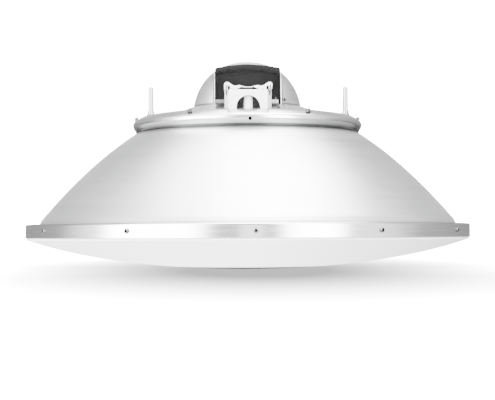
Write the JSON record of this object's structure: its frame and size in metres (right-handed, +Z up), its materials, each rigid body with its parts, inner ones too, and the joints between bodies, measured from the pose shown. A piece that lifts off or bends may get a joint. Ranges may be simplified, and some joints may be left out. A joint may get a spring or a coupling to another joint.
{
  "type": "shielded microwave dish antenna",
  "caption": "Round parabolic dish antenna with domed cover, clamp hoop, back ring, hub dome with a dark hood and a cast mount bracket, lying face down.",
  "frame": {"origin": "centre of the radome's resting flat, on the floor under the dish axis", "axes": "+Z up along the dish axis from the radome to the hub dome; the mount bracket stands on the -Y side and +X is to its right seen from the front"},
  "size_m": [0.6554, 0.6554, 0.3074],
  "materials": {
    "reflector_paint": "satin light grey",
    "rim_aluminium": "bright rolled strip",
    "radome_plastic": "matt white moulding",
    "hood_plastic": "matt dark grey moulding",
    "cast_white": "white satin casting",
    "fastener_steel": "bright zinc"
  },
  "bodies": {
    "root": {"reflector": "reflector_paint", "back_ring": "reflector_paint", "hub_dome": "reflector_paint", "radome": "radome_plastic", "rim_band": "rim_aluminium", "hood": "hood_plastic", "cheek_left": "cast_white", "cheek_right": "cast_white", "hub_plate": "reflector_paint", "latch_tab": "cast_white", "bracket_body": "cast_white", "bracket_post": "cast_white", "saddle_jaw": "cast_white", "stud_left": "fastener_steel", "stud_right": "fastener_steel", "stud_nut_left": "fastener_steel", "stud_nut_right": "fastener_steel", "rim_screw_01": "fastener_steel", "rim_screw_02": "fastener_steel", "rim_screw_03": "fastener_steel", "rim_screw_04": "fastener_steel", "rim_screw_05": "fastener_steel", "rim_screw_06": "fastener_steel", "rim_screw_07": "fastener_steel", "rim_screw_08": "fastener_steel", "rim_screw_09": "fastener_steel", "rim_screw_10": "fastener_steel", "rim_screw_11": "fastener_steel", "rim_screw_12": "fastener_steel"}
  },
  "joints": []
}
